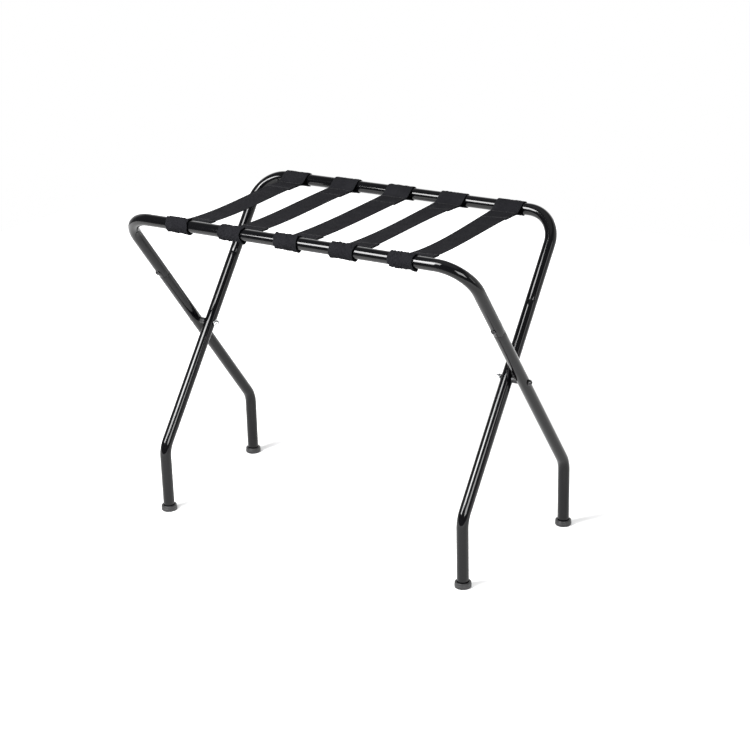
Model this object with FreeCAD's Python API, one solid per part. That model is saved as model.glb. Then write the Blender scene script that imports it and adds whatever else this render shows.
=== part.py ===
import FreeCAD, Part
import math
import os

from FreeCAD import Vector

# Folding luggage rack: two U-shaped frames of round steel tube cross on a pivot
# at each end, and five webbing straps join their rails.
#
# Millimetres. +X runs along the rails, +Y from the front rail to the rear rail,
# +Z up. The origin is on the floor, midway between the four feet.

# Overall sizes of the open rack
OVERALL_LENGTH = 690.9
OVERALL_DEPTH = 373.4
OVERALL_HEIGHT = 551.2

# Frame tube
TUBE_DIAMETER = 20.0
TUBE_WALL = 1.2
CORNER_RADIUS = 55.0
KNEE_RADIUS = 45.0
KNEE_HEIGHT = 116.0
FOOT_Y = 145.0
LEG_GAP = 10.0

# Joint between a U tube and a lower leg, measured down the leg from the rail
SEAM_DISTANCE = 156.5
NECK_LENGTH = 30.0
NECK_CLEARANCE = 0.05
NECK_TAPER = 2.0

# Joint screw (M5 round head) and its threaded insert
SCREW_DISTANCE = 142.5
SCREW_DIAMETER = 5.0
SCREW_HEAD_DIAMETER = 9.5
SCREW_HEAD_HEIGHT = 2.8
SCREW_SOCKET = 3.0
SCREW_LENGTH = 12.0
INSERT_DIAMETER = 7.0
INSERT_COLLAR_DIAMETER = 9.0
INSERT_COLLAR_HEIGHT = 2.2
INSERT_LENGTH = 9.0

# Pivot bolt (M6 round head), spacer and dome nut
BOLT_DIAMETER = 6.0
BOLT_HEAD_DIAMETER = 10.5
BOLT_HEAD_HEIGHT = 4.45
BOLT_SOCKET = 4.0
SPACER_DIAMETER = 11.0
NUT_ACROSS_FLATS = 10.0
NUT_HEX_HEIGHT = 5.0
NUT_DOME_DIAMETER = 9.4
NUT_DOME_HEIGHT = 5.5
NUT_DOME_TIP = 1.0
NUT_BORE_DEPTH = 8.0

# Foot cap
CAP_DIAMETER = 28.0
CAP_HEIGHT = 10.0
CAP_RECESS_DEPTH = 2.5
CAP_GROOVE_HEIGHT = 6.2
CAP_GROOVE_DEPTH = 0.5
CAP_PLUG_LENGTH = 18.0
CAP_PLUG_DIAMETER = 16.6

# Webbing strap
STRAP_COUNT = 5
STRAP_PITCH = 108.0
STRAP_WIDTH = 50.0
STRAP_THICKNESS = 1.4
STRAP_RAIL_CLEARANCE = 0.3
STRAP_SAG = 4.0
LOOP_REACH = 38.0

# Screw that holds a strap under a rail
STRAP_SCREW_DIAMETER = 3.9
STRAP_SCREW_HEAD_DIAMETER = 7.2
STRAP_SCREW_HEAD_HEIGHT = 2.0
STRAP_SCREW_LENGTH = 9.0
STRAP_HOLE_DIAMETER = 4.8

# Fits
SEAT_GAP = 0.02
RUNNING_CLEARANCE = 0.05
HOLE_CLEARANCE = 0.1

# Sizes that follow from those above
TUBE_RADIUS = TUBE_DIAMETER / 2
BORE_RADIUS = TUBE_RADIUS - TUBE_WALL
NECK_RADIUS = BORE_RADIUS - NECK_CLEARANCE
NECK_BORE_RADIUS = NECK_RADIUS - TUBE_WALL
LOOP_INNER_RADIUS = TUBE_RADIUS + STRAP_RAIL_CLEARANCE
LOOP_OUTER_RADIUS = LOOP_INNER_RADIUS + STRAP_THICKNESS
RAIL_Y = OVERALL_DEPTH / 2 - LOOP_OUTER_RADIUS
RAIL_Z = OVERALL_HEIGHT - LOOP_OUTER_RADIUS
OUTER_LEG_X = OVERALL_LENGTH / 2 - BOLT_HEAD_HEIGHT - TUBE_RADIUS
INNER_LEG_X = OUTER_LEG_X - TUBE_DIAMETER - LEG_GAP
LEG_RUN = RAIL_Y + FOOT_Y
LEG_DROP = RAIL_Z - KNEE_HEIGHT
LEG_LENGTH = math.hypot(LEG_RUN, LEG_DROP)
PIVOT_Z = RAIL_Z - LEG_DROP * RAIL_Y / LEG_RUN
TUBE_END_Z = CAP_HEIGHT - CAP_RECESS_DEPTH

# The outer frame has the front rail, and the inner frame the rear rail.
# The number is the sign of the rail's Y.
FRAMES = {"outer": -1, "inner": 1}
LEG_X = {"outer": OUTER_LEG_X, "inner": INNER_LEG_X}
SIDES = {"left": -1, "right": 1}


def leg_direction(rail_side):
    """Unit vector down a straight leg, from its rail towards its knee."""
    return Vector(0, -rail_side * LEG_RUN, -LEG_DROP) / LEG_LENGTH


def leg_outward(rail_side):
    """Unit vector square to a leg, out of the frame and down."""
    return Vector(0, rail_side * LEG_DROP, -LEG_RUN) / LEG_LENGTH


def leg_point(x, rail_side, distance):
    """Point on a leg's centre line, at a distance down from the rail."""
    return Vector(x, rail_side * RAIL_Y, RAIL_Z) + leg_direction(rail_side) * distance


def bent_wire(points, radius):
    """Wire through the points, with a tangent arc of one radius at each inner point."""
    edges = []
    start = points[0]
    for before, corner, after in zip(points, points[1:], points[2:]):
        back = (before - corner).normalize()
        ahead = (after - corner).normalize()
        half_angle = back.getAngle(ahead) / 2
        tangent = radius / math.tan(half_angle)
        to_centre = (back + ahead).normalize()
        centre = corner + to_centre * (radius / math.sin(half_angle))
        arc_start = corner + back * tangent
        arc_middle = centre - to_centre * radius
        arc_end = corner + ahead * tangent
        edges.append(Part.LineSegment(start, arc_start).toShape())
        edges.append(Part.Arc(arc_start, arc_middle, arc_end).toShape())
        start = arc_end
    edges.append(Part.LineSegment(start, points[-1]).toShape())
    return Part.Wire(edges)


def round_bar(wire, start, direction, radius):
    """Solid round bar along a wire that starts at a point in a direction."""
    circle = Part.Circle(start, direction, radius).toShape()
    return wire.makePipeShell([Part.Wire([circle])], True, False)


def round_pin(radius, start, direction, length):
    """Cylinder from a point along a direction."""
    return Part.makeCylinder(radius, length, start, direction)


def turned(profile, start, direction):
    """Solid turned from (radius, height) points, with its axis placed on a line."""
    outline = [Vector(radius, 0, height) for radius, height in profile]
    face = Part.Face(Part.makePolygon(outline + outline[:1]))
    solid = face.revolve(Vector(0, 0, 0), Vector(0, 0, 1), 360)
    solid.Placement = FreeCAD.Placement(start, FreeCAD.Rotation(Vector(0, 0, 1), direction))
    return solid


def hexagon_prism(across_flats, start, direction, height):
    """Hexagonal prism from a point along a direction."""
    corner_radius = across_flats / math.sqrt(3)
    angles = [math.radians(60 * turn) for turn in range(7)]
    corners = [Vector(corner_radius * math.cos(a), corner_radius * math.sin(a), 0) for a in angles]
    prism = Part.Face(Part.makePolygon(corners)).extrude(Vector(0, 0, height))
    prism.Placement = FreeCAD.Placement(start, FreeCAD.Rotation(Vector(0, 0, 1), direction))
    return prism


def round_head(diameter, height, flat_diameter, start, direction):
    """Screw head with its flat underside at start: a short rim, an arc and a small flat top."""
    rim = height * 0.25
    rise = height - rim
    half = diameter / 2
    flat = flat_diameter / 2
    radius = ((half - flat) ** 2 + rise ** 2) / (2 * rise)
    middle_angle = math.atan2(half - flat, radius - rise) / 2
    top = Vector(flat, 0, height)
    middle = top + Vector(radius * math.sin(middle_angle), 0, radius * (math.cos(middle_angle) - 1))
    side = Vector(half, 0, rim)
    corners = [top, Vector(0, 0, height), Vector(0, 0, 0), Vector(half, 0, 0), side]
    outline = [Part.Arc(side, middle, top).toShape()]
    outline += [Part.LineSegment(a, b).toShape() for a, b in zip(corners, corners[1:])]
    head = Part.Face(Part.Wire(outline)).revolve(Vector(0, 0, 0), Vector(0, 0, 1), 360)
    head.Placement = FreeCAD.Placement(start, FreeCAD.Rotation(Vector(0, 0, 1), direction))
    return head


def strap_positions():
    """X of the middle of each strap."""
    first = -STRAP_PITCH * (STRAP_COUNT - 1) / 2
    return [first + STRAP_PITCH * index for index in range(STRAP_COUNT)]


def make_top_tube(frame):
    """U tube of one frame: the rail, its two corners and the upper part of each leg."""
    rail_side = FRAMES[frame]
    x = LEG_X[frame]
    left_end = leg_point(-x, rail_side, SEAM_DISTANCE)
    left_corner = leg_point(-x, rail_side, 0)
    right_corner = leg_point(x, rail_side, 0)
    right_end = leg_point(x, rail_side, SEAM_DISTANCE)
    wire = bent_wire([left_end, left_corner, right_corner, right_end], CORNER_RADIUS)
    upward = leg_direction(rail_side) * -1
    tube = round_bar(wire, left_end, upward, TUBE_RADIUS)
    tube = tube.cut(round_bar(wire, left_end, upward, BORE_RADIUS))
    outward = leg_outward(rail_side)
    for leg_x in (-x, x):
        centre = leg_point(leg_x, rail_side, SCREW_DISTANCE)
        tube = tube.cut(round_pin(SCREW_DIAMETER / 2 + HOLE_CLEARANCE, centre, outward, TUBE_DIAMETER))
    for strap_x in strap_positions():
        centre = Vector(strap_x, rail_side * RAIL_Y, RAIL_Z)
        pilot_radius = STRAP_SCREW_DIAMETER / 2 + SEAT_GAP
        tube = tube.cut(round_pin(pilot_radius, centre, Vector(0, 0, -1), TUBE_DIAMETER))
    return tube


def make_lower_leg(frame, x):
    """Lower leg tube: a reduced neck, the straight leg, the knee and the upright foot."""
    rail_side = FRAMES[frame]
    down = leg_direction(rail_side)
    seam = leg_point(x, rail_side, SEAM_DISTANCE + SEAT_GAP)
    taper_end = leg_point(x, rail_side, SEAM_DISTANCE + NECK_TAPER)
    neck_top = leg_point(x, rail_side, SEAM_DISTANCE - NECK_LENGTH)
    knee = leg_point(x, rail_side, LEG_LENGTH)
    tube_end = Vector(x, knee.y, TUBE_END_Z)
    outside = round_bar(bent_wire([seam, knee, tube_end], KNEE_RADIUS), seam, down, TUBE_RADIUS)
    outside = outside.fuse(round_pin(NECK_RADIUS, neck_top, down, NECK_LENGTH + NECK_TAPER))
    bore_wire = bent_wire([taper_end, knee, tube_end], KNEE_RADIUS)
    leg = outside.cut(round_bar(bore_wire, taper_end, down, BORE_RADIUS))
    leg = leg.cut(round_pin(NECK_BORE_RADIUS, neck_top, down, NECK_LENGTH + NECK_TAPER))
    insert_centre = leg_point(x, rail_side, SCREW_DISTANCE)
    insert_hole = INSERT_DIAMETER / 2 + SEAT_GAP
    leg = leg.cut(round_pin(insert_hole, insert_centre, leg_outward(rail_side), TUBE_DIAMETER))
    bolt_hole = BOLT_DIAMETER / 2 + RUNNING_CLEARANCE
    hole_start = Vector(x - TUBE_DIAMETER, 0, PIVOT_Z)
    return leg.cut(round_pin(bolt_hole, hole_start, Vector(1, 0, 0), 2 * TUBE_DIAMETER))


def make_foot_cap(x, y):
    """Moulded foot cap: a flange with a groove and a rounded rim, and a ribbed plug in the tube."""
    half = CAP_DIAMETER / 2
    recess = TUBE_RADIUS + HOLE_CLEARANCE
    plug = CAP_PLUG_DIAMETER / 2
    rib = BORE_RADIUS - SEAT_GAP
    seat = TUBE_END_Z - SEAT_GAP
    plug_top = seat + CAP_PLUG_LENGTH
    profile = [(0, 0), (half - 1, 0), (half - 0.3, 0.3), (half, 1)]
    profile += [(half, CAP_GROOVE_HEIGHT - 0.5), (half - CAP_GROOVE_DEPTH, CAP_GROOVE_HEIGHT)]
    profile += [(half - 0.2, CAP_GROOVE_HEIGHT + 0.6)]
    rim_radius = 2.0
    for step in range(5):
        angle = math.radians(22.5 * step)
        radius = half - 0.2 - rim_radius + rim_radius * math.cos(angle)
        profile.append((radius, CAP_HEIGHT - rim_radius + rim_radius * math.sin(angle)))
    profile += [(recess, CAP_HEIGHT), (recess, seat), (plug, seat)]
    for rib_height in (5.0, 9.0, 13.0):
        base = seat + rib_height
        profile += [(plug, base), (rib, base + 0.6), (rib, base + 1.0), (plug, base + 1.8)]
    profile += [(plug, plug_top - 1), (plug - 1, plug_top), (0, plug_top)]
    return turned(profile, Vector(x, y, 0), Vector(0, 0, 1))


def make_pivot_bolt(side):
    """Round-head bolt, put in from outside, with a hexagon socket."""
    inward = Vector(-side, 0, 0)
    seat = Vector(side * (OUTER_LEG_X + TUBE_RADIUS + SEAT_GAP), 0, PIVOT_Z)
    nut_face_x = INNER_LEG_X - TUBE_RADIUS - SEAT_GAP
    shank_length = OUTER_LEG_X + TUBE_RADIUS + SEAT_GAP - nut_face_x + NUT_BORE_DEPTH - 1
    head_height = BOLT_HEAD_HEIGHT - SEAT_GAP
    head = round_head(BOLT_HEAD_DIAMETER, head_height, BOLT_SOCKET * 1.3, seat, inward * -1)
    socket_start = Vector(side * (OVERALL_LENGTH / 2 - 2.4), 0, PIVOT_Z)
    head = head.cut(hexagon_prism(BOLT_SOCKET, socket_start, inward * -1, BOLT_HEAD_HEIGHT))
    return head.fuse(round_pin(BOLT_DIAMETER / 2, seat, inward, shank_length))


def make_pivot_spacer(side):
    """Short sleeve on the bolt, between the outer and the inner leg."""
    inward = Vector(-side, 0, 0)
    start = Vector(side * (OUTER_LEG_X - TUBE_RADIUS - SEAT_GAP), 0, PIVOT_Z)
    length = LEG_GAP - 2 * SEAT_GAP
    sleeve = round_pin(SPACER_DIAMETER / 2, start, inward, length)
    return sleeve.cut(round_pin(BOLT_DIAMETER / 2 + HOLE_CLEARANCE, start, inward, length))


def make_dome_nut(side):
    """Hexagon nut with a closed dome, on the inner end of the pivot bolt."""
    inward = Vector(-side, 0, 0)
    start = Vector(side * (INNER_LEG_X - TUBE_RADIUS - SEAT_GAP), 0, PIVOT_Z)
    nut = hexagon_prism(NUT_ACROSS_FLATS, start, inward, NUT_HEX_HEIGHT)
    nut = nut.common(round_pin(NUT_ACROSS_FLATS / 2 + 0.5, start, inward, NUT_HEX_HEIGHT))
    dome_start = start + inward * NUT_HEX_HEIGHT
    dome = round_head(NUT_DOME_DIAMETER, NUT_DOME_HEIGHT, NUT_DOME_TIP, dome_start, inward)
    nut = nut.fuse(dome)
    return nut.cut(round_pin(BOLT_DIAMETER / 2 + SEAT_GAP, start, inward, NUT_BORE_DEPTH))


def make_joint_screw(frame, x):
    """Round-head screw through the wall of the U tube, into the insert in the leg's neck."""
    outward = leg_outward(FRAMES[frame])
    seat = leg_point(x, FRAMES[frame], SCREW_DISTANCE) + outward * (TUBE_RADIUS + SEAT_GAP)
    head = round_head(SCREW_HEAD_DIAMETER, SCREW_HEAD_HEIGHT, SCREW_SOCKET * 1.3, seat, outward)
    head = head.cut(hexagon_prism(SCREW_SOCKET, seat + outward * 1.2, outward, SCREW_HEAD_HEIGHT))
    return head.fuse(round_pin(SCREW_DIAMETER / 2, seat, outward * -1, SCREW_LENGTH))


def make_insert(frame, x):
    """Threaded insert: a barrel in the neck's wall, with its collar inside the neck."""
    outward = leg_outward(FRAMES[frame])
    # The barrel's and the collar's corners stay clear of the round walls round them.
    top = math.sqrt(NECK_RADIUS ** 2 - (INSERT_DIAMETER / 2) ** 2)
    centre = leg_point(x, FRAMES[frame], SCREW_DISTANCE)
    insert = round_pin(INSERT_DIAMETER / 2, centre + outward * top, outward * -1, INSERT_LENGTH)
    collar_half = INSERT_COLLAR_DIAMETER / 2
    collar_top = math.sqrt(NECK_BORE_RADIUS ** 2 - collar_half ** 2) - SEAT_GAP
    collar = round_pin(collar_half, centre + outward * collar_top, outward * -1, INSERT_COLLAR_HEIGHT)
    thread = round_pin(SCREW_DIAMETER / 2 + SEAT_GAP, centre + outward * top, outward * -1, INSERT_LENGTH)
    return insert.fuse(collar).cut(thread)


def loop_outline(x, rail_y, rail_radius, tip_radius):
    """Closed wire round a rail, drawn out to a tip on the rack's side: two arcs and their tangents."""
    toward = -1 if rail_y > 0 else 1
    rail = Vector(x, rail_y, RAIL_Z)
    tip = rail + Vector(0, toward * LOOP_REACH, 0)
    sine = (rail_radius - tip_radius) / LOOP_REACH
    cosine = math.sqrt(1 - sine * sine)
    above = Vector(0, toward * sine, cosine)
    below = Vector(0, toward * sine, -cosine)
    back = Vector(0, -toward, 0)
    edges = [
        Part.LineSegment(tip + above * tip_radius, rail + above * rail_radius).toShape(),
        Part.Arc(rail + above * rail_radius, rail + back * rail_radius, rail + below * rail_radius).toShape(),
        Part.LineSegment(rail + below * rail_radius, tip + below * tip_radius).toShape(),
    ]
    if tip_radius > 0:
        nose = Part.Arc(tip + below * tip_radius, tip - back * tip_radius, tip + above * tip_radius)
        edges.append(nose.toShape())
    return Part.Wire(edges)


def make_strap(x):
    """Webbing strap: a drawn-out loop round each rail, and a sagging span between their tips."""
    start_x = x - STRAP_WIDTH / 2
    width = Vector(STRAP_WIDTH, 0, 0)
    tip_y = RAIL_Y - LOOP_REACH
    half = STRAP_THICKNESS / 2
    # The span is an arc through both tips and its lowest point.
    left = [Vector(start_x, -tip_y, RAIL_Z + offset) for offset in (half, -half)]
    right = [Vector(start_x, tip_y, RAIL_Z + offset) for offset in (half, -half)]
    lowest = [Vector(start_x, 0, RAIL_Z - STRAP_SAG + offset) for offset in (half, -half)]
    outline = [
        Part.Arc(left[0], lowest[0], right[0]).toShape(),
        Part.LineSegment(right[0], right[1]).toShape(),
        Part.Arc(right[1], lowest[1], left[1]).toShape(),
        Part.LineSegment(left[1], left[0]).toShape(),
    ]
    strap = Part.Face(Part.Wire(outline)).extrude(width)
    for rail_y in (-RAIL_Y, RAIL_Y):
        outside = Part.Face(loop_outline(start_x, rail_y, LOOP_OUTER_RADIUS, STRAP_THICKNESS))
        inside = Part.Face(loop_outline(start_x, rail_y, LOOP_INNER_RADIUS, 0))
        strap = strap.fuse(outside.cut(inside).extrude(width))
        rail = Vector(x, rail_y, RAIL_Z)
        strap = strap.cut(round_pin(STRAP_HOLE_DIAMETER / 2, rail, Vector(0, 0, -1), TUBE_DIAMETER))
    return strap.removeSplitter()


def make_strap_screws(frame):
    """Pan-head screws that hold the straps under one rail, one to a strap."""
    screws = []
    up = Vector(0, 0, 1)
    for x in strap_positions():
        seat_z = RAIL_Z - LOOP_OUTER_RADIUS - SEAT_GAP
        seat = Vector(x, FRAMES[frame] * RAIL_Y, seat_z)
        slot_length = STRAP_SCREW_HEAD_DIAMETER * 0.5
        head_height = STRAP_SCREW_HEAD_HEIGHT
        head = round_head(STRAP_SCREW_HEAD_DIAMETER, head_height, slot_length, seat, up * -1)
        slot_corner = seat - Vector(slot_length / 2, 0.35, STRAP_SCREW_HEAD_HEIGHT)
        slot = Part.makeBox(slot_length, 0.7, 1.0, slot_corner)
        cross_corner = seat - Vector(0.35, slot_length / 2, STRAP_SCREW_HEAD_HEIGHT)
        cross = Part.makeBox(0.7, slot_length, 1.0, cross_corner)
        head = head.cut(slot).cut(cross)
        screws.append(head.fuse(round_pin(STRAP_SCREW_DIAMETER / 2, seat, up, STRAP_SCREW_LENGTH)))
    return Part.Compound(screws)


def make_nodes():
    """Every piece of the rack, by its node's name."""
    nodes = {}
    for frame, rail_side in FRAMES.items():
        nodes[frame + "_top_tube"] = make_top_tube(frame)
        nodes[frame + "_strap_screws"] = make_strap_screws(frame)
        for side_name, side in SIDES.items():
            x = side * LEG_X[frame]
            ending = frame + "_" + side_name
            nodes["lower_leg_" + ending] = make_lower_leg(frame, x)
            nodes["foot_cap_" + ending] = make_foot_cap(x, -rail_side * FOOT_Y)
            nodes["joint_screw_" + ending] = make_joint_screw(frame, x)
            nodes["joint_insert_" + ending] = make_insert(frame, x)
    for side_name, side in SIDES.items():
        nodes["pivot_bolt_" + side_name] = make_pivot_bolt(side)
        nodes["pivot_spacer_" + side_name] = make_pivot_spacer(side)
        nodes["pivot_dome_nut_" + side_name] = make_dome_nut(side)
    for number, x in enumerate(strap_positions(), 1):
        nodes["strap_%d" % number] = make_strap(x)
    return nodes


os.makedirs("parts", exist_ok=True)
whole = FreeCAD.BoundBox()
for name, shape in make_nodes().items():
    shape.exportStep("parts/" + name + ".step")
    whole.add(shape.optimalBoundingBox(False))
    print(name, "valid", shape.isValid(), "solids", len(shape.Solids), "volume", round(shape.Volume))
print("overall", round(whole.XLength, 2), round(whole.YLength, 2), round(whole.ZLength, 2))
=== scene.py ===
import math

import bpy
import numpy as np
from mathutils import Matrix, Vector


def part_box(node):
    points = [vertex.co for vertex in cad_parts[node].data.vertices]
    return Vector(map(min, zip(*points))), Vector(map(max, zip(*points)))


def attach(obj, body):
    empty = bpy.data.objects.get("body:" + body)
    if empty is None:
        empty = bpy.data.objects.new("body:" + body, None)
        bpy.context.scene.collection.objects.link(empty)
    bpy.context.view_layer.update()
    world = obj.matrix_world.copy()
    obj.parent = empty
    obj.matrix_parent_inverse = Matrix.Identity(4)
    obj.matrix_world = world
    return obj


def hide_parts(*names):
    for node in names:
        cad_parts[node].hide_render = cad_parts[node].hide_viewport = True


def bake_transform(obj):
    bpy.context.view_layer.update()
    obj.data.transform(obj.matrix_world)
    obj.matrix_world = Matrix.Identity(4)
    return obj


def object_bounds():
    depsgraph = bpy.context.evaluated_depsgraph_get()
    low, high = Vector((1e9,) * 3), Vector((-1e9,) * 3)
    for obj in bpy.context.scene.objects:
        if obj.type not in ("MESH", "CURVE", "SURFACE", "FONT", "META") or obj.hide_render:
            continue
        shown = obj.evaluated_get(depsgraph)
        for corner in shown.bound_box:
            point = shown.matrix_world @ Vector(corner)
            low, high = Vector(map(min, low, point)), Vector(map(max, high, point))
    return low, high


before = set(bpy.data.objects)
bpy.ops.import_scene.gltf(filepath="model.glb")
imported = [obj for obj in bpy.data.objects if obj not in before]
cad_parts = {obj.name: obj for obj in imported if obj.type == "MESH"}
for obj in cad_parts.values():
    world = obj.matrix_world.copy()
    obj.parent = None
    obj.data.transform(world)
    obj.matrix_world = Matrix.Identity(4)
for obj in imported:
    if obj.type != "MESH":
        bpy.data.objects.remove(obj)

# Folding luggage rack: two U-shaped frames of painted steel tube cross on a
# pivot at each end, and five webbing straps join their rails. Metres, +Z up.
cad_box = [list(corner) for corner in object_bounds()]


# --- Camera -------------------------------------------------------------------
# It stands at the front right, 0.75 m above the rails, and looks down on the rack.
# Heading is from +Y towards -X, and bank is a small turn about the line of sight.
camera_place = Vector((1.59601, -2.34748, 1.29498))
heading, dip, bank = math.radians(33.41), math.radians(20.05), math.radians(1.50)
ahead = Vector((
    -math.sin(heading) * math.cos(dip), math.cos(heading) * math.cos(dip), -math.sin(dip),
))
level = Vector((math.cos(heading), math.sin(heading), 0))
down = ahead.cross(level)
across = math.cos(bank) * level + math.sin(bank) * down
down = math.cos(bank) * down - math.sin(bank) * level
view = bpy.data.cameras.new("view")
view.sensor_width = 36
view.lens = 85.27
camera = bpy.data.objects.new("camera", view)
facing = Matrix((across, -down, -ahead)).transposed().to_4x4()
camera.matrix_world = Matrix.Translation(camera_place) @ facing
bpy.context.scene.collection.objects.link(camera)
bpy.context.scene.camera = camera


# --- Rail tubes ---------------------------------------------------------------
# Each frame's top is one round steel tube, cold bent into a U: the rail, two
# corners and the upper part of both legs, sprayed with glossy black enamel.
tube_radius = 0.010
tube_wall = 0.0012
tube_bore = tube_radius - tube_wall
corner_bend = 0.055
# Distance down a leg from the rail's corner to the seam, and the easing of a cut end
seam_distance = 0.1565
cut_edge = 0.0007
# Edges that turn by more than this stay crisp
crisp_angle = math.radians(48)
rail_sides = {"outer": -1, "inner": 1}
sides = {"left": -1, "right": 1}


def box_middle(node):
    """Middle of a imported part's box."""
    low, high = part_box(node)
    return np.array((low + high) / 2)


top_low, top_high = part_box("outer_top_tube")
rail_y = -top_low.y - tube_radius
rail_z = top_high.z - tube_radius
leg_x = {name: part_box(name + "_top_tube")[1].x - tube_radius for name in rail_sides}
foot_y = -box_middle("foot_cap_inner_left")[1]
knee_z = 0.116
leg_run, leg_drop = rail_y + foot_y, rail_z - knee_z
leg_length = math.hypot(leg_run, leg_drop)


def leg_down(rail_side):
    """Direction down a leg from its rail: across the rack to the other side, and down."""
    return np.array([0, -rail_side * leg_run, -leg_drop]) / leg_length


def leg_outward(rail_side):
    """Direction square to a leg, out of the frame and down: the leg's own, turned a quarter."""
    return np.array([0, rail_side * leg_drop, -leg_run]) / leg_length


def leg_point(x, rail_side, distance):
    """Point on a leg's centre line: the rail's corner plus the distance down the leg."""
    return np.array([x, rail_side * rail_y, rail_z]) + leg_down(rail_side) * distance


def bent_line(corners, bend, run_step=0.012, turn_step=3.0):
    """Stations along a bent tube's centre line, as (points, directions).
    Between corners they follow the straight run; at a corner they follow the arc
    centre + bend * (cos t * first radius + sin t * first direction)."""
    corners = [np.array(c, float) for c in corners]
    points, directions = [], []
    start = corners[0]
    for before, corner, after in zip(corners, corners[1:], corners[2:]):
        come = (corner - before) / np.linalg.norm(corner - before)
        go = (after - corner) / np.linalg.norm(after - corner)
        turn = math.acos(come @ go)
        cut = bend * math.tan(turn / 2)
        arc_start = corner - come * cut
        inward = (go - come * (come @ go)) / math.sin(turn)
        straight = np.linalg.norm(arc_start - start)
        share = np.linspace(0, 1, max(2, round(straight / run_step)))[:-1, None]
        points.append(start + (arc_start - start) * share)
        directions.append(np.repeat(come[None], len(share), 0))
        t = np.linspace(0, turn, max(3, round(math.degrees(turn) / turn_step)) + 1)[:-1, None]
        points.append(arc_start + inward * bend * (1 - np.cos(t)) + come * bend * np.sin(t))
        directions.append(come * np.cos(t) + inward * np.sin(t))
        start = corner + go * cut
    straight = np.linalg.norm(corners[-1] - start)
    share = np.linspace(0, 1, max(2, round(straight / run_step)))[:, None]
    points.append(start + (corners[-1] - start) * share)
    directions.append(np.repeat(go[None], len(share), 0))
    return np.vstack(points), np.vstack(directions)


def skin(name, rows, material, joined=False, uv=None):
    """Mesh object over a grid of points, rows[copy, row, place in ring].
    Every ring is closed. The rows are joined last to first, or each end is closed
    by a fan to its middle. Faces are turned so that the enclosed volume is positive."""
    rows = np.asarray(rows, float)
    rows = rows[None] if rows.ndim == 3 else rows
    copies, count, around = rows.shape[:3]
    ring = np.arange(around)
    nxt = (ring + 1) % around
    row = np.arange(count if joined else count - 1)[:, None]
    after = (row + 1) % count
    quads = np.stack([
        row * around + ring, row * around + nxt, after * around + nxt, after * around + ring,
    ], -1).reshape(-1, 4)
    points = rows.reshape(copies, count * around, 3)
    fans = np.zeros((0, 3), int)
    if not joined:
        first, last = count * around, count * around + 1
        points = np.concatenate([points, rows[:, [0, -1]].mean(2)], 1)
        end = (count - 1) * around
        near = np.stack([nxt, ring, np.full(around, first)], -1)
        far = np.stack([end + ring, end + nxt, np.full(around, last)], -1)
        fans = np.vstack([near, far])
    one = points[0] - points[0].mean(0)
    halves = np.vstack([quads[:, :3], quads[:, [0, 2, 3]], fans])
    a, b, c = one[halves[:, 0]], one[halves[:, 1]], one[halves[:, 2]]
    if (a * np.cross(b, c)).sum() < 0:
        quads, fans = quads[:, ::-1], fans[:, ::-1]
    shift = np.arange(copies)[:, None, None] * points.shape[1]
    faces = (quads + shift).reshape(-1, 4).tolist() + (fans + shift).reshape(-1, 3).tolist()
    mesh = bpy.data.meshes.new(name)
    mesh.from_pydata(points.reshape(-1, 3).tolist(), [], faces)
    mesh.shade_smooth()
    mesh.set_sharp_from_angle(angle=crisp_angle)
    if uv is not None:
        ends = np.repeat(uv[None, :, :].mean(2), copies, 0)[:, [0, -1]]
        flat = np.concatenate([np.repeat(uv.reshape(1, -1, 2), copies, 0), ends], 1).reshape(-1, 2)
        corner = np.zeros(len(mesh.loops), int)
        mesh.loops.foreach_get("vertex_index", corner)
        layer = mesh.uv_layers.new(name="cloth")
        layer.uv.foreach_set("vector", flat[corner].astype(np.float32).ravel())
    mesh.materials.append(material)
    piece = bpy.data.objects.new(name, mesh)
    bpy.context.scene.collection.objects.link(piece)
    return piece


def finish_of(name, **sockets):
    """New material, as (material, its nodes, its links, its shader), with some sockets set."""
    material = bpy.data.materials.new(name)
    material.use_nodes = True
    nodes, links = material.node_tree.nodes, material.node_tree.links
    shader = nodes["Principled BSDF"]
    for socket, value in sockets.items():
        shader.inputs[socket.replace("_", " ")].default_value = value
    return material, nodes, links, shader


def node(nodes, kind, links=None, settings=None, **inputs):
    """New shader node. Each input, by its name or as i and its number, is a value, or another
    node's output that is linked to it."""
    made = nodes.new("ShaderNode" + kind)
    for key, value in (settings or {}).items():
        setattr(made, key, value)
    for key, value in inputs.items():
        number = key[1:] if key[0] == "i" else ""
        socket = made.inputs[int(number) if number.isdigit() else key.replace("_", " ")]
        if isinstance(value, bpy.types.NodeSocket):
            links.new(value, socket)
        else:
            socket.default_value = value
    return made


def speckle(nodes, links, scale, detail=2.0, roughness=0.5):
    """Noise on the piece's own Object coordinates, as its height output."""
    place = node(nodes, "TexCoord").outputs["Object"]
    noise = node(
        nodes, "TexNoise", links, Vector=place, Scale=scale, Detail=detail, Roughness=roughness,
    )
    return noise.outputs[0]


def spread(nodes, links, value, low, high, start=0.3, stop=0.7):
    """A value mapped evenly: low where it is start or less, high where it is stop or more."""
    made = node(nodes, "MapRange", links, i0=value, i1=start, i2=stop, i3=low, i4=high)
    return made.outputs[0]


def tint(nodes, links, shader, value, dark, light):
    """Base colour that goes from dark to light with a value from 0 to 1."""
    mix = node(nodes, "Mix", links, {"data_type": "RGBA"}, i0=value, i6=(*dark, 1), i7=(*light, 1))
    links.new(mix.outputs[2], shader.inputs["Base Color"])


def emboss(nodes, links, shader, height, strength, distance):
    """Relief on the whole surface: a height, how much of it shows, and how deep it is."""
    bump = node(nodes, "Bump", links, Height=height, Strength=strength, Distance=distance)
    links.new(bump.outputs[0], shader.inputs["Normal"])


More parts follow.
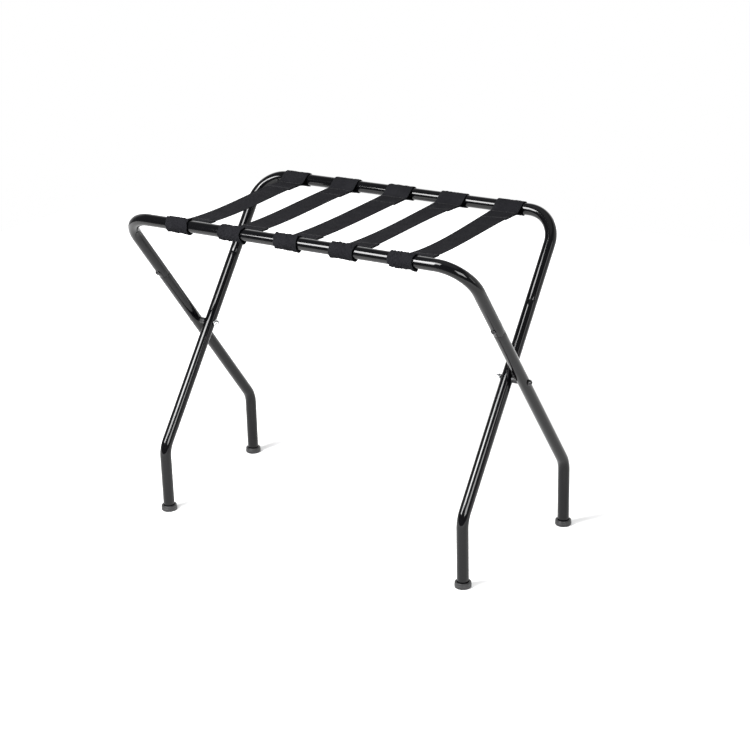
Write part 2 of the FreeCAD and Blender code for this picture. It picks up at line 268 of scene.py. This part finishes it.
enamel, nodes, links, shader = finish_of("black_enamel", IOR=1.325)
clouds = speckle(nodes, links, 35.0, 3.0)
dust = spread(nodes, links, speckle(nodes, links, 900.0, 2.0, 0.7), 0.0, 1.0, 0.66, 0.78)
tint(nodes, links, shader, dust, (0.0016, 0.0016, 0.0020), (0.007, 0.007, 0.008))
links.new(spread(nodes, links, clouds, 0.06, 0.10), shader.inputs["Roughness"])
emboss(nodes, links, shader, speckle(nodes, links, 420.0), 0.03, 0.0003)


def cut_rim(radius, wall, edge, steps=4):
    """Outline of a cut tube end, as (height past the last station, radius).
    A quarter circle takes the outside over the edge, then the flat end goes in to the bore."""
    turn = np.linspace(0, np.pi / 2, steps + 1)
    rim = np.column_stack([edge * np.sin(turn), radius - edge + edge * np.cos(turn)])
    return np.vstack([rim, [edge, radius - wall]])


def rings(points, directions, side, radii, around=48):
    """Circles square to a line that stays in one plane: point + radius * (cos a * side +
    sin a * third), where third is square to both the side and the line."""
    a = np.linspace(0, 2 * np.pi, around, endpoint=False)[None, :, None]
    radii = np.broadcast_to(np.asarray(radii, float), len(points))[:, None, None]
    third = np.cross(side, directions)[:, None]
    return points[:, None] + radii * (np.cos(a) * side + np.sin(a) * third)


def tube_rows(points, directions, side, first_rim, last_rim, radius, bore):
    """Rings of a tube with a wall: out over the first rim, along the outside, in over the last
    rim, and back along the bore."""
    first = first_rim[::-1]
    head = points[0] - directions[0] * first[:, :1]
    tail = points[-1] + directions[-1] * last_rim[:, :1]
    line = np.vstack([head, points[1:-1], tail, points[::-1]])
    ways = np.vstack([
        np.repeat(directions[:1], len(head), 0), directions[1:-1],
        np.repeat(directions[-1:], len(tail), 0), directions[::-1],
    ])
    outside = np.full(len(points) - 2, radius)
    inside = np.full(len(points), bore)
    return rings(line, ways, side, np.concatenate([first[:, 1], outside, last_rim[:, 1], inside]))


plain_rim = cut_rim(tube_radius, tube_wall, cut_edge)
for name, rail_side in rail_sides.items():
    x = leg_x[name]
    stop = seam_distance - cut_edge
    corners = [leg_point(-x, rail_side, stop), leg_point(-x, rail_side, 0)]
    corners += [leg_point(x, rail_side, 0), leg_point(x, rail_side, stop)]
    line, ways = bent_line(corners, corner_bend)
    square = leg_outward(rail_side)
    rows = tube_rows(line, ways, square, plain_rim, plain_rim, tube_radius, tube_bore)
    tube = skin(name + "_rail_tube", rows, enamel, joined=True)
    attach(tube, name + "_frame")
    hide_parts(name + "_top_tube")


# --- Lower legs ---------------------------------------------------------------
# Four shorter tubes of the same steel and enamel. Their reduced necks slide up
# into the rail tubes, and a bend near the floor stands each foot upright.
knee_bend = 0.045
neck_length = 0.030
neck_radius = 0.00875
neck_bore = neck_radius - tube_wall
# The foot cap's height, how deep the leg stands in it, and the gap between seated pieces
cap_height = 0.010
cap_recess = 0.0025
seat_gap = 0.00002

shoulder = cut_rim(tube_radius, tube_radius - neck_radius, cut_edge)
neck_top = cut_edge + neck_length
start_rim = np.vstack([shoulder, [[neck_top, neck_radius], [neck_top, neck_bore]]])
for name, rail_side in rail_sides.items():
    for side_name, side in sides.items():
        x = side * leg_x[name]
        cap_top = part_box("foot_cap_%s_%s" % (name, side_name))[0].z + cap_height
        knee = leg_point(x, rail_side, leg_length)
        floor_end = np.array([x, knee[1], cap_top - cap_recess + cut_edge])
        start = leg_point(x, rail_side, seam_distance + seat_gap + cut_edge)
        line, ways = bent_line([start, knee, floor_end], knee_bend)
        square = np.array([1.0, 0, 0])
        rows = tube_rows(line, ways, square, start_rim, plain_rim, tube_radius, neck_bore)
        leg = skin("%s_%s_leg" % (name, side_name), rows, enamel, joined=True)
        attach(leg, name + "_frame")
        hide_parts("lower_leg_%s_%s" % (name, side_name))


# --- Foot caps ----------------------------------------------------------------
# Moulded black plastic, pushed up into the tube: a thick flange with a rounded
# rim and a moulded groove, a recess that the tube stands in, and a ribbed plug.
cap_radius = 0.014
cap_ease = 0.00066
# The sole's shallow dimple, the flange's lower edge, and the groove round it
dimple_radius, dimple_depth = 0.0045, 0.0005
cap_edge = 0.0008
cap_groove, groove_depth = 0.0062, 0.0005
cap_lip = 0.0004
# The plug and its ribs: each one's rise, the end of its crest, and its end
plug_radius, plug_length = 0.0083, 0.018
plug_ribs = (0.005, 0.009, 0.013)
rib_rise, rib_crest, rib_end = 0.0006, 0.0010, 0.0018


def rounded(outline, radius, steps=4):
    """Outline with every inner corner eased: a curve from one side to the other,
    (1-t)^2 * start + 2t(1-t) * corner + t^2 * end, which takes less than half of either side."""
    outline = np.asarray(outline, float)
    radius = np.broadcast_to(np.asarray(radius, float), len(outline))
    before, corner, after = outline[:-2], outline[1:-1], outline[2:]
    back, onward = before - corner, after - corner
    long_back = np.linalg.norm(back, axis=1)[:, None]
    long_onward = np.linalg.norm(onward, axis=1)[:, None]
    reach = np.minimum(radius[1:-1, None], 0.48 * np.minimum(long_back, long_onward))
    start, end = corner + back / long_back * reach, corner + onward / long_onward * reach
    t = np.linspace(0, 1, steps + 1)[None, :, None]
    curve = (1 - t) ** 2 * start[:, None] + 2 * t * (1 - t) * corner[:, None]
    curve = curve + t ** 2 * end[:, None]
    return np.vstack([outline[:1], curve.reshape(-1, outline.shape[1]), outline[-1:]])


def turned_rows(outline, place, axis, around=48, flats=None):
    """Rings of a turned piece: place + height * axis + radius * (cos a * u + sin a * v).
    Where flats gives half the width across a hexagon's flats, the radius is the
    smaller of the outline's own and that hexagon's."""
    axis = np.asarray(axis, float) / np.linalg.norm(axis)
    u = np.cross(axis, [0, 0, 1] if abs(axis[2]) < 0.9 else [1, 0, 0])
    u = u / np.linalg.norm(u)
    v = np.cross(axis, u)
    a = np.linspace(0, 2 * np.pi, around, endpoint=False)[None]
    radius = outline[:, :1] * np.ones_like(a)
    if flats is not None:
        off_flat = (a + np.pi / 6) % (np.pi / 3) - np.pi / 6
        radius = np.minimum(radius, np.asarray(flats, float)[:, None] / np.cos(off_flat))
    way = np.cos(a)[..., None] * u + np.sin(a)[..., None] * v
    return np.asarray(place) + outline[:, 1, None, None] * axis + radius[..., None] * way


moulded, nodes, links, shader = finish_of("moulded_black_plastic", IOR=1.48)
mottle = speckle(nodes, links, 260.0, 4.0, 0.6)
tint(nodes, links, shader, mottle, (0.0045, 0.0045, 0.005), (0.016, 0.016, 0.017))
links.new(spread(nodes, links, mottle, 0.34, 0.52), shader.inputs["Roughness"])
emboss(nodes, links, shader, speckle(nodes, links, 1500.0, 3.0, 0.6), 0.35, 0.0002)

rib_radius = tube_bore - seat_gap
recess_radius = tube_radius + 0.0001
cap_seat = cap_height - cap_recess - seat_gap
plug_top = cap_seat + plug_length
outline = [(dimple_radius - dimple_depth, dimple_depth), (dimple_radius, 0)]
outline += [(cap_radius - cap_edge, 0), (cap_radius, cap_edge)]
outline += [(cap_radius, cap_groove - groove_depth), (cap_radius - groove_depth, cap_groove)]
outline += [(cap_radius - 0.0002, cap_groove + 0.0006)]
outline += [(cap_radius - cap_lip, cap_height - 0.0009), (cap_radius - 0.0013, cap_height)]
outline += [(tube_radius + cap_lip, cap_height), (recess_radius, cap_height - cap_lip)]
outline += [(recess_radius, cap_seat), (plug_radius, cap_seat)]
for rib in plug_ribs:
    low = cap_seat + rib
    outline += [(plug_radius, low), (rib_radius, low + rib_rise)]
    outline += [(rib_radius, low + rib_crest), (plug_radius, low + rib_end)]
outline += [(plug_radius, plug_top - 0.001), (plug_radius - 0.001, plug_top), (0.001, plug_top)]
cap_outline = rounded(outline, cap_ease)
for name in rail_sides:
    for side_name in sides:
        cad_cap = "foot_cap_%s_%s" % (name, side_name)
        low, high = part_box(cad_cap)
        place = np.array([(low.x + high.x) / 2, (low.y + high.y) / 2, low.z])
        rows = turned_rows(cap_outline, place, (0, 0, 1), 64)
        cap = skin("%s_%s_foot" % (name, side_name), rows, moulded)
        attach(cap, name + "_frame")
        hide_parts(cad_cap)


# --- Joint screws and inserts -------------------------------------------------
# A black button-head screw goes through each rail tube's wall, just above the
# seam, into a threaded insert in the neck of the lower leg.
screw_distance = 0.1425
screw_radius = 0.0025
screw_length = 0.012
# A head is given by its radius, its height, and half the width across its socket's flats
screw_head = (0.00475, 0.0028, 0.0015)
screw_socket_depth = 0.0016
# A hexagon's corner over its flat, the small ring that closes a turned piece's end, and
# the bevel at a shank's end
hexagon_corner = 1.155
fan_radius = 0.0003
shank_bevel = 0.0004

blacked, nodes, links, shader = finish_of("blackened_steel", Metallic=0.75)
worn = spread(nodes, links, speckle(nodes, links, 700.0, 3.0, 0.65), 0.0, 1.0, 0.5, 0.75)
tint(nodes, links, shader, worn, (0.030, 0.030, 0.032), (0.075, 0.073, 0.070))
links.new(spread(nodes, links, worn, 0.20, 0.34, 0.0, 1.0), shader.inputs["Roughness"])

zinc, nodes, links, shader = finish_of("zinc_plate", Metallic=1.0)
bloom = speckle(nodes, links, 520.0, 3.0, 0.6)
tint(nodes, links, shader, bloom, (0.42, 0.42, 0.41), (0.66, 0.65, 0.62))
links.new(spread(nodes, links, bloom, 0.24, 0.42), shader.inputs["Roughness"])


def socket_screw_rows(head, shank_radius, shank_length, socket_depth, seat, outward):
    """Turned round-head screw: from the shank's end to the seat, over the head's rim and dome,
    and down a hexagon socket. From rim to crown the dome rises as sin(t pi / 2)^0.9."""
    half, height, socket = head
    rim, crown = height * 0.25, socket * 1.3
    corner, bottom = socket * hexagon_corner, height - socket_depth
    t = np.linspace(0, 1, 9)
    rise = np.sin(t * np.pi / 2) ** 0.9
    dome = np.column_stack([half - (half - crown) * t, rim + (height - rim) * rise])
    outline = [(fan_radius, -shank_length), (shank_radius - shank_bevel, -shank_length)]
    outline += [(shank_radius, shank_bevel - shank_length), (shank_radius, 0)]
    outline += [(half - 0.00015, 0), (half, 0.00015)]
    inside = [(crown * 0.98, height), (corner, height - 0.0001), (corner, bottom)]
    inside += [(fan_radius, bottom - 0.0004)]
    outline = np.vstack([outline, dome, inside])
    flats = np.full(len(outline), 1.0)
    flats[-3:-1] = socket
    return turned_rows(outline, seat, outward, 48, flats)


for name, rail_side in rail_sides.items():
    for side_name, side in sides.items():
        ending = "%s_%s" % (name, side_name)
        outward = leg_outward(rail_side)
        middle = leg_point(side * leg_x[name], rail_side, screw_distance)
        seat = middle + outward * (tube_radius + seat_gap)
        rows = socket_screw_rows(
            screw_head, screw_radius, screw_length, screw_socket_depth, seat, outward,
        )
        screw = skin(ending + "_joint_screw_head", rows, blacked)
        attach(screw, name + "_frame")
        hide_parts("joint_screw_" + ending)
        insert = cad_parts["joint_insert_" + ending]
        insert.data.materials.clear()
        insert.data.materials.append(zinc)


# --- Pivots -------------------------------------------------------------------
# At each end a round-head bolt joins the two frames: in from outside through the
# outer leg, a plastic sleeve and the inner leg, into a chromed dome nut.
bolt_head = (0.00525, 0.00443, 0.002)
bolt_radius = 0.003
bolt_socket_depth = 0.0024
sleeve_radius = 0.0055
sleeve_bore = bolt_radius + 0.0001
sleeve_ease = 0.0005
# The groove round the sleeve's middle: its depth, which is also half its floor's width
waist = 0.0003
# The nut's hexagon, its threaded hole, and its dome as (radius, rise)
nut_half_flats, nut_corner, nut_hex = 0.005, 0.0059, 0.005
nut_bore, nut_hole = bolt_radius + seat_gap, 0.008
nut_dome = (0.0047, 0.0055)

chrome, nodes, links, shader = finish_of("chrome_plate", Metallic=1.0)
haze = speckle(nodes, links, 300.0, 2.0)
tint(nodes, links, shader, haze, (0.55, 0.56, 0.57), (0.70, 0.71, 0.72))
links.new(spread(nodes, links, haze, 0.07, 0.15), shader.inputs["Roughness"])

pivot_z = box_middle("pivot_bolt_left")[2]

# The sleeve's outline, from mid-bore round its end, its groove and its other end
half_length = (leg_x["outer"] - leg_x["inner"]) / 2 - tube_radius - seat_gap
outline = [(sleeve_bore, 0), (sleeve_bore, half_length), (sleeve_radius, half_length)]
outline += [(sleeve_radius, 2 * waist), (sleeve_radius - waist, waist)]
outline += [(sleeve_radius - waist, -waist), (sleeve_radius, -2 * waist)]
outline += [(sleeve_radius, -half_length), (sleeve_bore, -half_length), (sleeve_bore, 0)]
sleeve_outline = rounded(outline, sleeve_ease)[:-1]

# The nut's outline: its hole, the hexagon, and a dome whose radius falls as
# cos(t pi / 2)^0.9 while it rises as sin(t pi / 2)
t = np.linspace(0, 1, 10)[1:]
dome = np.column_stack([
    nut_dome[0] * np.cos(t * np.pi / 2) ** 0.9 * 0.98 + 0.0001,
    nut_hex + nut_dome[1] * (0.25 + 0.75 * np.sin(t * np.pi / 2)),
])
outline = [(fan_radius, nut_hole), (nut_bore, nut_hole), (nut_bore, 0.0003)]
outline += [(bolt_radius + 0.0003, 0), (nut_half_flats - 0.0002, 0), (nut_corner, 0.0005)]
outline += [(nut_corner, nut_hex - 0.0005), (nut_half_flats - 0.0001, nut_hex)]
outline += [(nut_dome[0], nut_hex), (nut_dome[0], nut_hex + nut_dome[1] * 0.25)]
nut_outline = np.vstack([outline, dome])
nut_flats = np.full(len(nut_outline), 1.0)
nut_flats[4:8] = nut_half_flats

for side_name, side in sides.items():
    outward = np.array([side, 0.0, 0.0])
    low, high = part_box("pivot_bolt_" + side_name)
    shank = high.x - low.x - bolt_head[1]
    seat = np.array([side * (leg_x["outer"] + tube_radius + seat_gap), 0, pivot_z])
    rows = socket_screw_rows(bolt_head, bolt_radius, shank, bolt_socket_depth, seat, outward)
    bolt = skin(side_name + "_pivot_bolt", rows, blacked)
    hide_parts("pivot_bolt_" + side_name)

    middle = np.array([side * (leg_x["outer"] + leg_x["inner"]) / 2, 0, pivot_z])
    rows = turned_rows(sleeve_outline, middle, outward)
    sleeve = skin(side_name + "_pivot_sleeve", rows, moulded, joined=True)
    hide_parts("pivot_spacer_" + side_name)

    seat = np.array([side * (leg_x["inner"] - tube_radius - seat_gap), 0, pivot_z])
    rows = turned_rows(nut_outline, seat, -outward, 48, nut_flats)
    nut = skin(side_name + "_pivot_nut", rows, chrome)
    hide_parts("pivot_dome_nut_" + side_name)
    for piece in (bolt, sleeve, nut):
        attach(piece, "outer_frame")


# --- Straps -------------------------------------------------------------------
# Five bands of black woven polypropylene webbing. Each goes round both rails;
# its tail comes back under the span and is sewn to it in a box of black thread.
strap_count = 5
strap_half_width = 0.025
strap_half_thick = 0.0007
wrap_radius = 0.0111
span_sag = 0.004
# Distances from the middle: where the two layers part before a rail, where the upper one
# starts its climb, where the tail starts under it, and where the tail ends
loop_tip = rail_y - 0.021
climb_start, tail_start = loop_tip - 0.004, loop_tip - 0.003
tail_end = 0.110
layer_gap = 0.00012
band_step = 0.00125
# How each band settled: its sag, how much its rear half is raised, and its twist
band_sags = (0.0045, 0.0030, 0.0030, 0.0013, 0.0054)
band_rises = (0.0052, 0.0037, 0.0020, 0.0023, 0.0047)
band_twists = (0.0010, 0.0006, 0.0010, 0.0064, 0.0060)
# How far its front end and its rear end have slipped along the rails, and how much lower
# it hangs between them
front_slips = (0.0062, 0.0062, 0.0066, 0.0043, 0.0044)
rear_slips = (-0.0054, -0.0066, -0.0032, -0.0049, -0.0040)
loop_hang = 0.003
# How much narrower it is bunched on the front rail, and the stretch where that comes in
front_bunch, bunch_reach = 0.12, (0.120, 0.172)
# Height of the creases at the front rail and at the rear one, and how far the edges wander
crease_heights = (0.0021, 0.0007)
edge_drifts = (0.0013, 0.0006)
# A finer set of creases over the first: its share of their height, and how much closer
fine_share, fine_closer = 1.1, 2.1
# How far one corner stands off under the front rail
corner_lift = 0.0022
# Threads in a box of stitches, across the band and along it between the corners, and how
# far each one bows up from the cloth
threads_across, threads_along = 15, 11
thread_bow = 0.0002


def span_height(d, sag):
    """Height of a hanging span against its ends, at a distance d from its middle:
    -sag * (1 - (d / tip)^2)."""
    return -sag * (1 - (d / loop_tip) ** 2)


def band_half():
    """Half of a band's middle line, from mid-span to its tail, as (distance, height).
    The span hangs to the loop's tip. A tangent takes it up to the rail, an arc of the
    wrap radius goes round it, and a second tangent brings it back under the tip."""
    reach = rail_y - loop_tip
    lean = math.asin(wrap_radius / reach)
    d = np.linspace(0, climb_start, 120)
    span = np.column_stack([d, span_height(d, span_sag) + strap_half_thick])
    turn = np.linspace(math.pi / 2 + lean, -math.pi / 2 - lean, 90)
    wrap = np.column_stack([rail_y + wrap_radius * np.cos(turn), wrap_radius * np.sin(turn)])
    d = np.linspace(tail_start, tail_end, 40)
    tail = np.column_stack([d, span_height(d, span_sag) - strap_half_thick - layer_gap])
    return np.vstack([span, wrap, tail])


def evenly(line, step):
    """The same line with stations a step apart: each coordinate is read off against the
    distance along it, then averaged over its neighbours three times, to ease the corners."""
    run = np.concatenate([[0], np.cumsum(np.linalg.norm(np.diff(line, axis=0), axis=1))])
    at = np.linspace(0, run[-1], round(run[-1] / step) + 1)
    line = np.column_stack([np.interp(at, run, line[:, i]) for i in range(2)])
    for _ in range(3):
        line[1:-1] = (line[:-2] + 2 * line[1:-1] + line[2:]) / 4
    return line


def ease_in(value, start, stop):
    """0 at start, 1 at stop, and t * t * (3 - 2t) between."""
    t = np.clip((value - start) / (stop - start), 0, 1)
    return t * t * (3 - 2 * t)


def settle(u, y, z, band):
    """Moves points of an even band, given as (place across, y, height against the rails), to
    where this one lies. The span gets its own sag, rise and twist, each times (1 - t^2) with t
    from -1 to 1 between the tips. Each end has slipped along its rail, the front wrap is
    bunched narrower, and all that lies between the rails hangs a little lower."""
    t = np.clip(y / loop_tip, -1, 1)
    x = box_middle("strap_%d" % band)[0]
    bunched = 1 - front_bunch * ease_in(-y, *bunch_reach)
    backward = np.clip((rail_y + y) / (2 * rail_y), 0, 1)
    slip = front_slips[band - 1] * (1 - backward) + rear_slips[band - 1] * backward
    own = span_sag - band_sags[band - 1] + band_rises[band - 1] * t
    own = own + band_twists[band - 1] * u / (2 * strap_half_width)
    hang = loop_hang * (1 - ease_in(np.abs(y), climb_start, rail_y - 0.006))
    across, height = x + u * bunched + slip, rail_z + z + own * (1 - t * t) - hang
    return np.stack(np.broadcast_arrays(across, y, height), -1)


half = band_half()
front = np.column_stack([-half[::-1, 0], half[::-1, 1]])
band_line = evenly(np.vstack([front[:-1], half]), band_step)
band_run = np.concatenate([[0], np.cumsum(np.linalg.norm(np.diff(band_line, axis=0), axis=1))])
band_way = np.gradient(band_line, axis=0)
band_way /= np.linalg.norm(band_way, axis=1)[:, None]
band_up = np.column_stack([-band_way[:, 1], band_way[:, 0]])

# The band's section: two flat faces, and two round edges of half its thickness
flat_half = strap_half_width - strap_half_thick
places = np.linspace(-flat_half, flat_half, 49)
turn = np.linspace(-np.pi / 2, np.pi / 2, 7)[1:-1]
edge_u = flat_half + strap_half_thick * np.cos(turn)
edge_h = strap_half_thick * np.sin(turn)
flat_h = np.full(len(places), strap_half_thick)
section_u = np.concatenate([places, edge_u[::-1], places[::-1], -edge_u])
section_h = np.concatenate([flat_h, edge_h[::-1], -flat_h, edge_h])


def reckon(nodes, links, operation, *values):
    """A Math node's result for its one to three values."""
    inputs = {"i%d" % place: value for place, value in enumerate(values)}
    return node(nodes, "Math", links, {"operation": operation}, **inputs).outputs[0]


# Herringbone weave on the band's own chart, in metres: slanting picks in columns that
# mirror each other, with a little fuzz, and paler where the ridges are worn
column_width, pick_length = 0.0020, 0.0017
webbing, nodes, links, shader = finish_of("woven_webbing", Roughness=0.9)
shader.inputs["Specular IOR Level"].default_value = 0.03
chart = node(nodes, "UVMap", settings={"uv_map": "cloth"})
apart = node(nodes, "SeparateXYZ", links, Vector=chart.outputs[0])
column = reckon(nodes, links, "MULTIPLY", apart.outputs[0], 1 / column_width)
fold = reckon(nodes, links, "PINGPONG", column, 0.5)
pick = reckon(nodes, links, "MULTIPLY", apart.outputs[1], 1 / pick_length)
chevron = reckon(nodes, links, "ADD", pick, fold)
ridge = reckon(nodes, links, "PINGPONG", chevron, 0.5)
yarn = reckon(nodes, links, "MULTIPLY_ADD", ridge, 1.4, fold)
fuzz = speckle(nodes, links, 2400.0, 2.0, 0.6)
relief = reckon(nodes, links, "MULTIPLY_ADD", fuzz, 0.5, yarn)
worn = speckle(nodes, links, 45.0, 3.0, 0.6)
shade = reckon(nodes, links, "MULTIPLY_ADD", worn, 0.7, relief)
shade = spread(nodes, links, shade, 0.0, 1.0, 0.5, 1.6)
tint(nodes, links, shader, shade, (0.0008, 0.0008, 0.0012), (0.0135, 0.0135, 0.0155))
emboss(nodes, links, shader, relief, 0.9, 0.0004)

thread, nodes, links, shader = finish_of("black_thread", Roughness=0.6)
twist = speckle(nodes, links, 3500.0, 2.0)
tint(nodes, links, shader, twist, (0.002, 0.002, 0.0025), (0.009, 0.009, 0.010))


def wrinkles(u, run, seed, closer=1.0, slants=5):
    """Outward lift of a wrapped band, as rounded slanting creases: the mean over a few random
    slants of max(0, sin(2 pi (a u + b run + phase)))^1.5."""
    draw = np.random.default_rng(seed)
    total = np.zeros(np.broadcast(u, run).shape)
    for _ in range(slants):
        a = closer * draw.uniform(25, 75) * draw.choice([-1, 1, 1])
        b = closer * draw.uniform(35, 95)
        total += np.maximum(0, np.sin(2 * np.pi * (a * u + b * run + draw.uniform()))) ** 1.5
    return total / slants


def stitches(middles, along, lift, length=0.0026, thickness=0.00024):
    """Rows of short threads. Each is middle + t * length / 2 * along, lifted by lift * (1 - t^2),
    with round rings that narrow to its ends as sqrt(1 - 0.95 t^2)."""
    t = np.linspace(-1, 1, 5)[None, :, None, None]
    a = np.linspace(0, 2 * np.pi, 6, endpoint=False)[None, None, :, None]
    middles, along = middles[:, None, None], along[:, None, None]
    upward = np.array([0, 0, 1.0])
    beside = np.cross(along, upward)
    ring = thickness * np.sqrt(1 - 0.95 * t ** 2) * (np.cos(a) * beside + np.sin(a) * upward)
    return middles + t * length / 2 * along + upward * lift * (1 - t ** 2) + ring


def sewn_box(end, top):
    """Middles and directions of the threads in one box of stitches, as (place across, y, height).
    Two rows go across the band and two along its edges, spread evenly between the corners,
    a few millimetres in from the tail's end, the tip and the edges."""
    near, far, wide = tail_end + 0.003, loop_tip - 0.0075, strap_half_width - 0.0035
    across_u = np.linspace(-wide, wide, threads_across)
    along_d = np.linspace(near, far, threads_along + 2)[1:-1]
    left, right = np.full(threads_along, -wide), np.full(threads_along, wide)
    first, last = np.full(threads_across, near), np.full(threads_across, far)
    u = np.concatenate([across_u, across_u, left, right])
    d = np.concatenate([first, last, along_d, along_d])
    face = 2 * strap_half_thick - 0.00005
    z = span_height(d, span_sag) + (face if top else -face - layer_gap)
    way = np.zeros((len(u), 3))
    way[:2 * threads_across, 0] = 1
    way[2 * threads_across:, 1] = 1
    return np.column_stack([u, end * d, z]), way


def join_frames(piece):
    """Bakes a soft piece's placement into its mesh and reads out its points."""
    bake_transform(piece)
    points = np.zeros(len(piece.data.vertices) * 3)
    piece.data.vertices.foreach_get("co", points)


# Where along the band it is wrapped on a rail, and where it passes under one
off_rail = np.abs(band_line[:, 0]) - rail_y
wrapped = ease_in(off_rail, -0.010, 0.002)
at_front = band_line[:, 0] < 0
under_rail = np.exp(-((off_rail + 0.001) / 0.006) ** 2) * (band_line[:, 1] < -0.002)
crease_height = np.where(at_front, *crease_heights) * wrapped
edge_drift = np.where(at_front, *edge_drifts) * wrapped
corner_height = corner_lift * under_rail * at_front
u, run = section_u[None], band_run[:, None]
chart_uv = np.stack(np.broadcast_arrays(u + strap_half_width, run), -1)
for number in range(1, strap_count + 1):
    creases = wrinkles(u, run, 10 + number)
    creases = creases + fine_share * wrinkles(u, run, 70 + number, fine_closer)
    corner = ease_in(u, 0.012, strap_half_width) * corner_height[:, None]
    draw = np.random.default_rng(40 + number)
    drift = edge_drift * np.sin(band_run * draw.uniform(120, 190) + draw.uniform(0, 6))
    out = section_h[None] + creases * crease_height[:, None] + corner
    y = band_line[:, :1] + out * band_up[:, :1]
    z = band_line[:, 1:] + out * band_up[:, 1:]
    rows = settle(u + drift[:, None], y, z, number)
    band = skin("strap_band_%d" % number, rows, webbing, uv=chart_uv)
    threads = []
    for end in (-1, 1):
        for top in (True, False):
            middles, way = sewn_box(end, top)
            threads.append(stitches(middles, way, thread_bow if top else -thread_bow))
    threads = np.concatenate(threads)
    rows = settle(threads[..., 0], threads[..., 1], threads[..., 2], number)
    sewing = skin("strap_thread_%d" % number, rows, thread)
    for piece in (band, sewing):
        join_frames(piece)
    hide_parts("strap_%d" % number)


# --- Strap screws -------------------------------------------------------------
# A small zinc-plated pan-head screw holds each strap under each rail. Their shape is
# the model's own, and they only get their plating here.
for name in rail_sides:
    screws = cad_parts[name + "_strap_screws"]
    screws.data.materials.clear()
    screws.data.materials.append(zinc)


# --- Floor and light ----------------------------------------------------------
# A plain white floor, which glows far from the rack so that its edge melts away. Two soft
# boxes stand at the left front, a third at the right front and a weak panel at the right,
# in a pale room that is brightest low behind the rack.
floor_mesh = bpy.data.meshes.new("floor")
reach, front = 1.9, 1.0
floor_z = cad_box[0][2] - 0.0002
floor_corners = [(-reach, -front), (reach, -front), (reach, reach), (-reach, reach)]
floor_mesh.from_pydata([(x, y, floor_z) for x, y in floor_corners], [], [(0, 1, 2, 3)])
floor = bpy.data.objects.new("floor", floor_mesh)
bpy.context.scene.collection.objects.link(floor)
paper, nodes, links, shader = finish_of("white_paper", Roughness=0.9)
shader.inputs["Specular IOR Level"].default_value = 0.0
tone = speckle(nodes, links, 3.0)
tint(nodes, links, shader, tone, (0.88, 0.88, 0.88), (0.92, 0.92, 0.92))
place = node(nodes, "TexCoord").outputs["Object"]
far = node(nodes, "VectorMath", links, {"operation": "LENGTH"}, i0=place)
glow = spread(nodes, links, far.outputs["Value"], 0.0, 0.7, 0.6, 1.5)
shader.inputs["Emission Color"].default_value = (1, 1, 1, 1)
links.new(glow, shader.inputs["Emission Strength"])
floor_mesh.materials.append(paper)


def soft_box(name, toward, distance, size, brightness):
    """Rectangular light at a distance from the point all lights face, in a direction from it.
    Its power is brightness * pi * area."""
    light = bpy.data.lights.new(name, "AREA")
    light.shape = "RECTANGLE"
    light.size, light.size_y = size
    light.energy = brightness * math.pi * size[0] * size[1]
    lamp = bpy.data.objects.new(name, light)
    toward = Vector(toward).normalized()
    lamp.location = light_aim + toward * distance
    lamp.rotation_euler = toward.to_track_quat("Z", "Y").to_euler()
    lamp.visible_camera = False
    bpy.context.scene.collection.objects.link(lamp)


light_aim = Vector((0, 0, rail_z * 0.7))
soft_box("key_box", (-0.398, -0.741, 0.526), 2.32, (0.72, 0.95), 35.0)
soft_box("upper_box", (-0.180, -0.647, 0.740), 2.07, (0.82, 0.75), 26.0)
soft_box("corner_box", (0.745, -0.565, 0.355), 2.2, (0.95, 0.75), 16.0)
soft_box("side_panel", (0.96, 0.06, 0.27), 2.4, (0.35, 0.9), 4.0)

room = bpy.data.worlds.new("room")
bpy.context.scene.world = room
room.use_nodes = True
nodes, links = room.node_tree.nodes, room.node_tree.links
sky = nodes["Background"]
look = node(nodes, "TexCoord").outputs["Generated"]
_, back, up = node(nodes, "SeparateXYZ", links, Vector=look).outputs
backward = spread(nodes, links, back, 0.0, 1.0, -0.15, 0.45)
low = spread(nodes, links, up, 1.0, 0.0, 0.50, 0.72)
behind = reckon(nodes, links, "MULTIPLY", backward, low)
behind = spread(nodes, links, behind, 0.22, 1.3, 0.0, 1.0)
overhead = spread(nodes, links, up, 0.0, 0.5, 0.84, 0.90)
below = spread(nodes, links, up, 1.2, 0.0, -0.66, -0.16)
glow = reckon(nodes, links, "ADD", behind, overhead)
glow = reckon(nodes, links, "MAXIMUM", glow, below)
# The rack is lit by that glow, and what shows behind it is plain white
seen = node(nodes, "LightPath").outputs["Is Camera Ray"]
plain = node(nodes, "Mix", links, {"data_type": "FLOAT"}, i0=seen, i2=glow, i3=1.0)
links.new(plain.outputs[0], sky.inputs["Strength"])
sky.inputs["Color"].default_value = (1, 1, 1, 1)
bpy.context.scene.view_settings.view_transform = "Standard"
